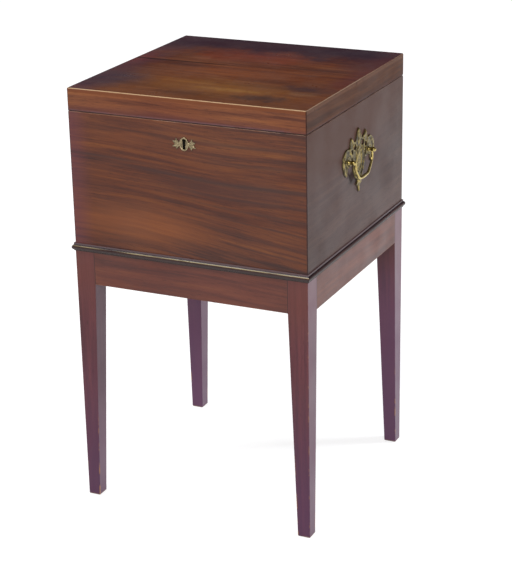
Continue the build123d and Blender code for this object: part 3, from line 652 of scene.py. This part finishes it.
def whole_outline(half):
    """An outline from its right half, with the left half mirrored."""
    return half + [p * np.array([-1, 1]) for p in reversed(half[1:-1])]


def on_circle(angle):
    """The point of a circle with radius 1 at an angle."""
    return np.array([math.cos(angle), math.sin(angle)])


def circle(count):
    return [on_circle(2 * math.pi * i / count) for i in range(count)]


def twin_holes(across, up, half_across, half_up, count=28):
    """The loops of two oval holes, one at either side of the middle."""
    loop = [point * (half_across, half_up) for point in circle(count)]
    return [[point + (side * across, up) for point in loop] for side in (-1, 1)]


def line_distance(points, lines):
    """Distance from each point to the nearest of some straight lines, given by their ends."""
    nearest = np.full(len(points), np.inf)
    for start, end in lines:
        start, end = np.array(start, float), np.array(end, float)
        chord = end - start
        share = np.clip(((points - start) @ chord) / max(chord @ chord, 1e-12), 0, 1)
        gap = points - (start + share[:, None] * chord)
        nearest = np.minimum(nearest, np.hypot(*gap.T))
    return nearest


def edge_distance(points, loops):
    """Distance from each point to the nearest edge of any loop."""
    return line_distance(points, [ends for loop in loops for ends in zip(loop, loop[1:] + loop[:1])])


def swell(distance, middle, width):
    """A smooth rise to a height of 1 at a distance, as wide as given."""
    return np.exp(-((distance - middle) / width) ** 2)


def ridge(points, spine, width):
    """A smooth ridge of height 1 along a polyline."""
    return swell(line_distance(points, zip(spine, spine[1:])), 0.0, width)


def inside_loop(points, loop):
    a = np.array(loop)
    b = np.roll(a, -1, axis=0)
    inside = np.zeros(len(points), bool)
    for (x0, y0), (x1, y1) in zip(a, b):
        spans = (y0 > points[:, 1]) != (y1 > points[:, 1])
        cross = x0 + (points[:, 1] - y0) / ((y1 - y0) or 1e-12) * (x1 - x0)
        inside ^= spans & (points[:, 0] < cross)
    return inside


def relief_plate(outline, holes, height, spacing, place):
    """A plate over an outline with holes, flat behind, whose front follows a height function.

    Everything is in millimetres; place(across, up, out) gives the point in the frame."""
    loops = [outline] + holes
    low, high = np.min(outline, axis=0), np.max(outline, axis=0)
    row_step = spacing * math.sqrt(3) / 2
    grid = np.array([(low[0] + (column + row % 2 / 2) * spacing, low[1] + row * row_step)
                     for row in range(int((high[1] - low[1]) / row_step) + 1)
                     for column in range(int((high[0] - low[0]) / spacing) + 1)])

    def within(points):
        inside = inside_loop(points, outline)
        for hole in holes:
            inside &= ~inside_loop(points, hole)
        return inside

    grid = grid[within(grid) & (edge_distance(grid, loops) > 0.55 * spacing)]
    points, edges = [], []
    for loop in loops:
        first = len(points)
        points += [Vector(p) for p in loop]
        edges += [(first + i, first + (i + 1) % len(loop)) for i in range(len(loop))]
    points += [Vector(p) for p in grid]
    flat, _, triangles = delaunay_2d_cdt(points, edges, [], 0, 1e-5)[:3]
    flat = np.array([tuple(p) for p in flat])
    centres = flat[np.array(triangles)].mean(axis=1)
    kept = [t for t, keep in zip(triangles, within(centres)) if keep]
    rise = height(flat, edge_distance(flat, loops))
    bm = bmesh.new()
    front = [bm.verts.new(place(p[0], p[1], h)) for p, h in zip(flat, rise)]
    back = [bm.verts.new(place(p[0], p[1], 0.0)) for p in flat]
    for a, b, c in kept:
        bm.faces.new((front[a], front[b], front[c]))
        bm.faces.new((back[c], back[b], back[a]))
    sides = dict.fromkeys((t[i], t[(i + 1) % 3]) for t in kept for i in range(3))
    for start, end in sides:
        if (end, start) not in sides:
            bm.faces.new((front[start], back[start], back[end], front[end]))
    for vertex in [v for v in bm.verts if not v.link_faces]:
        bm.verts.remove(vertex)
    return bm


# Pierced backplates of the side handles: half outline from top tip to bottom tip, as end point and
# bulge of each arc, in millimetres from the middle of the line between the posts
post_half_spread_mm = 45.0
bail_standoff_mm = 10.8
plate_thickness_mm = 1.8
plate_tip = (0.0, 49.0)
plate_runs = [
    (12.0, 32.0, 1.6), (18.0, 29.0, -1.8), (31.0, 39.0, -1.6), (38.0, 25.0, 1.6), (44.0, 22.5, -1.2),
    (61.0, 19.0, 2.6), (70.0, 5.0, 2.2), (66.0, -11.0, 1.6), (54.0, -23.5, 2.2), (50.0, -12.0, 1.6),
    (40.0, -9.0, -1.5), (31.0, -9.5, 1.0), (25.0, -14.0, -1.8), (20.0, -28.0, 1.8), (11.0, -38.0, 1.6),
    (7.0, -43.0, -1.2), (13.0, -49.0, 1.6), (5.0, -52.0, -1.2), (0.0, -63.0, 0.8),
]
post_hole_radius_mm = 2.55

# Piercings of one half: middle across and up, half width and half height
plate_piercings = [(17.5, 19.5, 5.2, 4.2), (30.5, 14.0, 3.6, 3.0), (30.0, -0.5, 2.8, 4.2)]

# Ridges of the leaf work on one half, and the oval in its middle
plate_spines = [
    [(0.0, 46.0), (0.0, 22.0)],
    [(30.0, 36.0), (25.0, 27.0), (12.0, 8.0)],
    [(40.0, 22.0), (36.0, 12.0), (24.0, 6.0)],
    [(58.0, 15.0), (66.0, 4.0), (62.0, -10.0), (54.0, -20.0)],
    [(22.0, -16.0), (17.0, -28.0), (8.0, -38.0), (0.0, -44.0)],
    [(0.0, -34.0), (0.0, -60.0)],
    [(11.0, -48.0), (3.0, -45.0)],
]
cartouche = (0.0, -6.0)
cartouche_radii = (13.0, 24.0)


def plate_height(points, rim):
    """How far the front of the backplate stands off the wood, in millimetres."""
    folded = np.column_stack([np.abs(points[:, 0]), points[:, 1]])
    edge = np.clip(rim / 1.5, 0, 1)
    height = 0.7 + 0.9 * np.sqrt(1 - (1 - edge) ** 2)
    height += 0.55 * swell(rim, 1.7, 0.9)
    for spine in plate_spines:
        height += 1.1 * ridge(folded, spine, 1.9) * edge
    radius = np.hypot(*((folded - cartouche) / cartouche_radii).T)
    dome = np.clip(1 - (radius / 0.78) ** 2, 0, 1)
    height += (1.5 * swell(radius, 0.88, 0.10) + 1.3 * np.sqrt(dome)) * edge
    height -= 0.35 * swell(radius, 0.72, 0.07)
    boss = np.hypot(folded[:, 0] - post_half_spread_mm, folded[:, 1])
    near_post = np.clip((boss - 4.6) / 2.2, 0, 1)
    height = height * near_post + plate_thickness_mm * (1 - near_post)
    height += 0.8 * swell(boss, 8.2, 1.1) * edge
    veins = 0.16 * np.sin(2.1 * folded[:, 0] + 1.3 * folded[:, 1]) * edge * (radius > 1.0)
    return np.maximum(height + veins, 0.6)


def handle_place(side):
    """Millimetres across, up and out from the wood on one side of the box, as a point in the frame."""
    def place(across, up, out):
        return Vector((side * (half_width + out * MM), across * MM, handle_level + up * MM))
    return place


def make_backplate(name, side):
    outline = whole_outline(run_points(plate_tip, plate_runs, 1.1))
    holes = []
    for piercing in plate_piercings:
        holes += twin_holes(*piercing)
    holes += twin_holes(post_half_spread_mm, 0, post_hole_radius_mm, post_hole_radius_mm, 20)
    bm = relief_plate(outline, holes, plate_height, 1.15, handle_place(side))

    def lift(co):
        return (abs(co.x) - half_width) / (4.2 * MM)

    shown(f"cast_backplate_{name}", bm, cast_brass, "box", f"handle_{name}_backplate", lift, 60.0)


def skin(bm, rings):
    """Faces between each ring of points and the next; a ring may be a single point."""
    for near, far in zip(rings, rings[1:]):
        count = max(len(near), len(far))
        for i in range(count):
            j = (i + 1) % count
            corners = (near[i % len(near)], near[j % len(near)], far[j % len(far)], far[i % len(far)])
            bm.faces.new(tuple(dict.fromkeys(corners)))


def turned_pair(profile, half_spread_mm, place, sides=28):
    """A bmesh of two round pieces either side of the middle, from a profile of (out, radius) pairs."""
    bm = bmesh.new()
    for middle in (-half_spread_mm, half_spread_mm):
        rings = []
        for out, radius in profile:
            rings.append([bm.verts.new(place(middle + radius * a, radius * b, out))
                          for a, b in circle(sides if radius > 0 else 1)])
        skin(bm, rings)
    return bm


# Turned posts: distance from the wood and radius, outwards from the plate
post_turning = [
    (1.8, 2.5), (1.8, 4.2), (2.0, 4.7), (2.6, 4.8), (3.2, 4.5), (3.5, 3.8), (3.9, 3.2), (4.6, 2.9),
    (5.2, 2.9), (5.6, 3.4), (6.0, 3.5), (6.4, 3.2), (6.8, 3.3),
]
post_ball_radius_mm = 4.3
post_ball_angle = math.radians(158)
post_ball_steps = 12
post_tip_mm = 4.5
post_inner_end_mm = -19.5


def make_posts(name, side):
    profile = [(post_inner_end_mm, 0.0), (post_inner_end_mm, 2.2), (post_inner_end_mm + 0.3, 2.5)]
    profile += post_turning
    start_angle = math.asin(post_turning[-1][1] / post_ball_radius_mm)
    for i in range(1, post_ball_steps + 1):
        angle = start_angle + (post_ball_angle - start_angle) * i / post_ball_steps
        profile.append((bail_standoff_mm - post_ball_radius_mm * math.cos(angle),
                        post_ball_radius_mm * math.sin(angle)))
    tip = bail_standoff_mm + post_tip_mm
    profile += [(tip - 0.45, 1.3), (tip - 0.15, 0.9), (tip, 0.0)]
    bm = turned_pair(profile, post_half_spread_mm, handle_place(side))

    def lift(co):
        across = abs(co.y) / MM - post_half_spread_mm
        up = (co.z - handle_level) / MM
        out = (abs(co.x) - half_width) / MM
        return min(1.0, max(math.hypot(across, up) / 4.8, out / 13.0))

    shown(f"turned_posts_{name}", bm, rubbed_brass, "box", f"handle_{name}_posts", lift)


def unit(vector):
    return vector / np.hypot(*vector)


def rounded_path(points, radii, step):
    """A polyline with each inner corner replaced by an arc of the given radius."""
    points = np.array(points)
    path = [points[0]]
    for before, corner, after, radius in zip(points, points[1:], points[2:], radii):
        back, ahead = unit(before - corner), unit(after - corner)
        half = math.acos(float(np.clip(back @ ahead, -1, 1))) / 2
        centre = corner + unit(back + ahead) * radius / math.sin(half)
        start = corner + back * radius / math.tan(half)
        end = corner + ahead * radius / math.tan(half)
        turn_start = math.atan2(*(start - centre)[::-1])
        turn = math.atan2(*(end - centre)[::-1]) - turn_start
        turn = (turn + math.pi) % (2 * math.pi) - math.pi
        count = max(3, int(abs(turn) * radius / step))
        for i in range(count + 1):
            angle = turn_start + turn * i / count
            path.append(centre + radius * on_circle(angle))
    return path + [points[-1]]


def evened(path, step):
    """The same path with points at an even spacing."""
    path = np.array(path)
    lengths = np.concatenate([[0], np.cumsum(np.hypot(*np.diff(path, axis=0).T))])
    stations = np.linspace(0, lengths[-1], int(lengths[-1] / step) + 1)
    return np.column_stack([np.interp(stations, lengths, path[:, k]) for k in (0, 1)]), stations


# Bails: the same route as the model's, in millimetres from the middle of the line between the posts
bail_end = 40.2
bail_corner = bail_end - 0.6 - 2.7
bail_half_route = [(bail_end, 0.0), (bail_corner, 0.0), (bail_corner + 1.6, -13.0), (20.0, -34.5)]
bail_half_radii = [2.7, 14.0, 16.0]
bail_pin_radius_mm = 1.7
bail_pin_length_mm = 9.3
bail_pin_bevel_mm = 0.3
bail_sides = 18


def bail_radius(from_middle, half_length):
    """Radius of the bail: full in the middle, with turned swells there and a ring near each slim end."""
    share = from_middle / half_length
    radius = 2.45 - 0.45 * share ** 2
    radius += 0.35 * swell(from_middle, 0.0, 9.0) + 0.30 * swell(from_middle, 0.0, 3.0)
    radius += 0.45 * swell(from_middle, 7.6, 0.8) + 0.45 * swell(from_middle, half_length - 0.9, 0.8)
    return radius


def make_bail(name, side):
    place = handle_place(side)
    route = bail_half_route + [(-a, u) for a, u in reversed(bail_half_route)]
    path, stations = evened(rounded_path(route, bail_half_radii + bail_half_radii[::-1], 0.5), 0.6)
    half_length = stations[-1] / 2
    tangents = np.gradient(path, axis=0)
    tangents /= np.hypot(*tangents.T)[:, None]
    bm = bmesh.new()

    def ring(point, tangent, radius):
        normal = np.array([-tangent[1], tangent[0]])
        return [bm.verts.new(place(*(point + normal * radius * a), bail_standoff_mm + radius * b))
                for a, b in circle(bail_sides)]

    def pin(end):
        """The rings of the pin at one end of the bail, from its tip inwards."""
        outward = np.array([np.sign(path[end][0]), 0.0])
        tip = path[end] + outward * bail_pin_length_mm
        return [ring(tip, tangents[end], bail_pin_radius_mm - bail_pin_bevel_mm),
                ring(tip - outward * bail_pin_bevel_mm, tangents[end], bail_pin_radius_mm),
                ring(path[end], tangents[end], bail_pin_radius_mm)]

    rings = pin(0)
    for point, tangent, station in zip(path, tangents, stations):
        rings.append(ring(point, tangent, bail_radius(abs(station - half_length), half_length)))
    rings += reversed(pin(-1))
    skin(bm, rings)
    bm.faces.new(rings[0])
    bm.faces.new(rings[-1])

    def lift(co):
        out = (abs(co.x) - half_width) / MM - bail_standoff_mm
        return 0.62 + 0.16 * out

    shown(f"cast_bail_{name}", bm, rubbed_brass, f"bail_{name}", f"bail_{name}", lift)


# Escutcheon: an oval between two leafy wings, in millimetres from the middle of the keyhole
oval_half = (8.5, 11.5)
wing_root = (5.0, 3.4)
wing_runs = [
    (9.0, 3.4, 0.8), (13.4, 9.4, -0.9), (15.4, 5.6, 0.9), (20.4, 5.6, -1.0), (17.4, 0.4, 1.2),
    (22.0, -4.6, -1.1), (16.4, -5.4, 0.9), (14.6, -9.6, -0.9), (9.0, -3.4, 0.9), (5.0, -3.4, 0.4),
]
wing_spines = [
    [(8.0, 2.0), (12.8, 7.6)],
    [(8.0, 1.0), (14.0, 2.6), (19.0, 4.9)],
    [(8.0, -1.0), (14.0, -1.8), (20.2, -4.2)],
    [(8.0, -2.0), (12.0, -5.0), (14.2, -8.2)],
]
keyhole_head_radius = 3.0
keyhole_half_slot = 2.2
keyhole_half_height = 8.5
pin_half_spread = 15.5
pin_hole_radius = 0.85
pin_turning = [(-3.4, 0.0), (-3.0, 0.5), (-2.0, 0.8), (1.1, 0.8), (1.1, 1.15), (1.5, 1.0), (1.75, 0.6),
               (1.85, 0.0)]


def escutcheon_height(points, rim):
    folded = np.column_stack([np.abs(points[:, 0]), points[:, 1]])
    edge = np.clip(rim / 0.9, 0, 1)
    height = 0.6 + 0.6 * np.sqrt(1 - (1 - edge) ** 2)
    for spine in wing_spines:
        height += 0.55 * ridge(folded, spine, 0.9) * edge
    radius = np.hypot(*(points / oval_half).T)
    height += 0.9 * swell(radius, 0.88, 0.11)
    pin = np.hypot(folded[:, 0] - pin_half_spread, folded[:, 1])
    return height + 0.15 * swell(pin, 1.4, 0.5)


def keyhole_loop():
    head_up = keyhole_half_height - keyhole_head_radius
    lowest = math.asin(keyhole_half_slot / keyhole_head_radius)
    loop = []
    count = 18
    for i in range(count + 1):
        angle = -math.pi / 2 + lowest + (2 * math.pi - 2 * lowest) * i / count
        loop.append(np.array([0, head_up]) + keyhole_head_radius * on_circle(angle))
    slot_top = loop[count][1]
    for side, shares in ((-1, (0.33, 0.66, 1.0)), (1, (1.0, 0.67, 0.34))):
        for share in shares:
            level = slot_top * (1 - share) - keyhole_half_height * share
            loop.append(np.array([side * keyhole_half_slot, level]))
    return loop


def escutcheon_outline():
    """The outline, whose half runs from the top of the oval round one wing to its bottom."""
    wing = [p for p in run_points(wing_root, wing_runs, 0.6) if np.hypot(*(p / oval_half)) >= 1]
    leave = math.atan2(wing[0][1] / oval_half[1], wing[0][0] / oval_half[0])
    back = math.atan2(wing[-1][1] / oval_half[1], wing[-1][0] / oval_half[0])
    count = 14

    above = [on_circle(angle) * oval_half for angle in np.linspace(math.pi / 2, leave, count + 1)[:-1]]
    below = [on_circle(angle) * oval_half for angle in np.linspace(back, -math.pi / 2, count + 1)[1:]]
    return whole_outline(above + wing + below)


def make_escutcheon():
    def place(across, up, out):
        return Vector((across * MM, -half_depth - out * MM, keyhole_level + up * MM))

    def lift(co):
        return (-co.y - half_depth) / (2.2 * MM)

    holes = [keyhole_loop()] + twin_holes(pin_half_spread, 0, pin_hole_radius, pin_hole_radius, 14)
    bm = relief_plate(escutcheon_outline(), holes, escutcheon_height, 0.62, place)
    shown("cast_escutcheon", bm, worn_brass, "box", "escutcheon", lift, 60.0)
    pins = turned_pair(pin_turning, pin_half_spread, place, sides=16)
    shown("escutcheon_round_pins", pins, worn_brass, "box", "escutcheon_pins", lambda co: 0.9)


# Dressing

for name, side in (("left", -1), ("right", 1)):
    make_backplate(name, side)
    make_posts(name, side)
    make_bail(name, side)
make_escutcheon()

materials = {
    "box_front": case_front("front_mahogany"),
    "box_back": case_back("back_mahogany"),
    "box_right": case_side("right_mahogany", 6.2),
    "box_left": case_side("left_mahogany", 8.4),
    "lid_front_rail": lid_rail("lid_front_mahogany", 0, 2.2, 0.9),
    "lid_back_rail": lid_rail("lid_back_mahogany", 0, 4.9, 0.8),
    "lid_right_rail": lid_rail("lid_right_mahogany", 1, 6.9, 0.7),
    "lid_left_rail": lid_rail("lid_left_mahogany", 1, 1.6, 0.7),
    "corner_blocks": inner_wood("block_wood", 2, 0, 2.5),
    "box_bottom": inner_wood("bottom_wood", 0, 1, 7.5),
}
materials["lid_front_board"] = materials["lid_back_board"] = lid_board("lid_top_mahogany")
for x_name, x_side in (("left", -1), ("right", 1)):
    for y_name, y_side in (("front", -1), ("back", 1)):
        name = f"leg_{y_name}_{x_name}"
        materials[name] = leg_wood(f"{name}_mahogany", x_side, y_side, 1.3 + x_side + 2.7 * y_side)
long_wood = {"front": 0, "back": 0, "left": 1, "right": 1}
for number, (name, grain) in enumerate(long_wood.items()):
    materials[f"apron_{name}"] = apron_wood(f"apron_{name}_mahogany", grain, 3.1 + 1.9 * number)
    materials[f"moulding_{name}"] = moulding_wood(f"moulding_{name}_mahogany", grain, 2.3 + 1.7 * number)
    materials[f"divider_{name}"] = inner_wood(f"divider_{name}_wood", 1 - grain, 2, 5.1 + number)
metals = {
    plain_brass: ["lock_plate", "link_plate", "lock_bolt", "hinge_left_box_leaf", "hinge_left_lid_leaf",
                  "hinge_right_box_leaf", "hinge_right_lid_leaf", "handle_left_nuts", "handle_right_nuts"],
    screw_brass: ["lock_screws", "link_plate_screws", "hinge_box_screws", "hinge_lid_screws"],
    lock_iron: ["lock_case", "lock_spring", "lock_drill_pin"],
    pin_iron: ["hinge_left_pin", "hinge_right_pin"],
}
for metal, names in metals.items():
    materials.update((name, metal.material) for name in names)
for name, material in materials.items():
    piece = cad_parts[name]
    piece.data.materials.clear()
    piece.data.materials.append(material)


# Floor, light and camera

background_white = (1.0, 1.0, 1.0, 1.0)
floor_size = 30.0
floor_colour = (0.44, 0.44, 0.44, 1.0)
floor_glow = (0.72, 0.92)
floor_glow_reach = (0.5, 3.0)
horizon_light = (0.80, 0.81, 0.85, 1.0)
ceiling_light = (0.22, 0.22, 0.24, 1.0)
ceiling_mirrored = (0.16, 0.15, 0.15, 1.0)


def make_floor():
    """A pale floor that is white to the camera and keeps the soft shadow of the object."""
    mesh = bpy.data.meshes.new("floor")
    half = floor_size / 2
    mesh.from_pydata([(-half, -half, 0), (half, -half, 0), (half, half, 0), (-half, half, 0)], [],
                     [(0, 1, 2, 3)])
    material = bpy.data.materials.new("floor_paper")
    mesh.materials.append(material)
    tree = Tree(material)
    rays = tree.node("LightPath").outputs
    seen = tree.largest([rays["Is Camera Ray"], rays["Is Glossy Ray"], rays["Is Transmission Ray"]])
    place = tree.node("TexCoord").outputs["Object"]
    away = tree.node("VectorMath", place, operation="LENGTH").outputs["Value"]
    strength = tree.times(seen, tree.ramp(away, *floor_glow_reach, *floor_glow))
    diffuse = tree.node("BsdfDiffuse", floor_colour)
    glow = tree.node("Emission", background_white, strength)
    both = tree.node("AddShader", diffuse.outputs[0], glow.outputs[0])
    tree.node("OutputMaterial", both.outputs[0])
    added("floor", mesh)


def make_world():
    """White to the camera, a grey room to the light, and a room with a white horizon to reflections."""
    world = bpy.data.worlds.new("studio")
    bpy.context.scene.world = world
    tree = Tree(world)
    rays = tree.node("LightPath").outputs
    up = tree.parts(tree.node("TexCoord").outputs["Generated"])[2]

    def room(horizon, ceiling, rise_end):
        """The colour of the room, from the horizon up to its ceiling."""
        return tree.mix(tree.ramp(up, 0.0, rise_end), horizon, ceiling)

    light = room(horizon_light, ceiling_light, 0.30)
    mirrored = room(background_white, ceiling_mirrored, 0.16)
    colour = tree.mix(rays["Is Glossy Ray"], light, mirrored)
    for ray in ("Is Transmission Ray", "Is Camera Ray"):
        colour = tree.mix(rays[ray], colour, background_white)
    tree.node("OutputWorld", tree.node("Background", colour).outputs[0])


def make_lamp(name, place, aim_height, size, power, colour=(1.0, 1.0, 1.0), mirrored=True):
    """A square lamp that looks at the middle of the object at some height."""
    data = bpy.data.lights.new(name, "AREA")
    data.shape = "RECTANGLE"
    data.size, data.size_y = size
    data.energy = power
    data.color = colour
    lamp = added(name, data)
    lamp.location = place
    lamp.visible_glossy = mirrored
    toward = Vector((0.0, 0.0, aim_height)) - Vector(place)
    lamp.rotation_euler = toward.to_track_quat("-Z", "Y").to_euler()


# The camera of the photograph, found by fitting corners of the object to it
camera_place = (1.25295, -2.59773, 1.42414)
camera_azimuth = math.radians(25.368)
camera_elevation = math.radians(20.327)
camera_roll = math.radians(-1.126)
focal_pixels = 1729.0
image_long_side = 568
sensor_mm = 36.0


def make_camera():
    data = bpy.data.cameras.new("camera")
    data.sensor_width = sensor_mm
    data.lens = focal_pixels * sensor_mm / image_long_side
    data.clip_end = 100.0
    camera = added("camera", data)
    around = Matrix.Rotation(camera_azimuth, 4, "Z")
    down = Matrix.Rotation(math.radians(90) - camera_elevation, 4, "X")
    rolled = Matrix.Rotation(camera_roll, 4, "Z")
    camera.matrix_world = Matrix.Translation(camera_place) @ around @ down @ rolled
    bpy.context.scene.camera = camera


make_floor()
make_world()
make_lamp("overhead", (-0.8, -0.95, 2.6), 0.6, (0.7, 0.6), 27.0)
make_lamp("right_window", (2.2, 1.3, 1.6), 0.6, (0.5, 0.6), 50.0, (0.93, 0.96, 1.0), mirrored=False)
make_lamp("left_fill", (-2.6, 0.6, 1.4), 0.5, (1.4, 1.2), 26.0, mirrored=False)
make_lamp("front_fill", (0.9, -2.6, 1.9), 0.5, (1.6, 1.2), 48.0, (1.0, 0.98, 0.95))
make_camera()
bpy.context.scene.view_settings.view_transform = "Standard"
